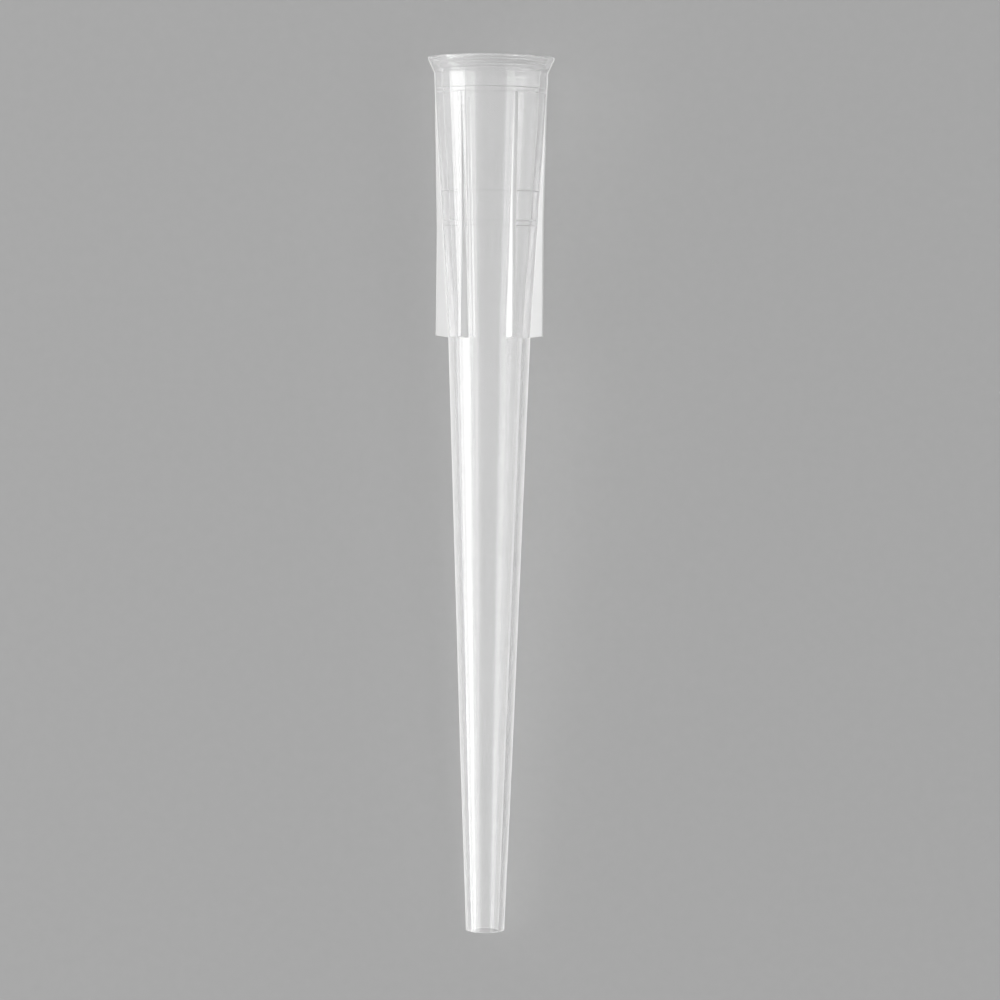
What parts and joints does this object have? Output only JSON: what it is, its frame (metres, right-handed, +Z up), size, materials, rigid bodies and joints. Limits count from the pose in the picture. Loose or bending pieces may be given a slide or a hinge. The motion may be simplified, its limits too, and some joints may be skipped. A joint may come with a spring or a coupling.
{
  "type": "pipette tip",
  "caption": "Clear wide-orifice pipette tip with a flared mouth, a finned collar and a long tapering barrel, lying on its side.",
  "frame": {"origin": "on the floor, below the middle of the tip's length, where it lies on its side", "axes": "+Z up; +Y along the floor towards the flared mouth, straight under the tip's axis; +X to the right, seen from above with the mouth away from the viewer"},
  "size_m": [0.0072, 0.0502, 0.0072],
  "materials": {
    "polypropylene": "clear natural, smooth"
  },
  "bodies": {
    "root": {"pipette_tip": "polypropylene"}
  },
  "joints": []
}
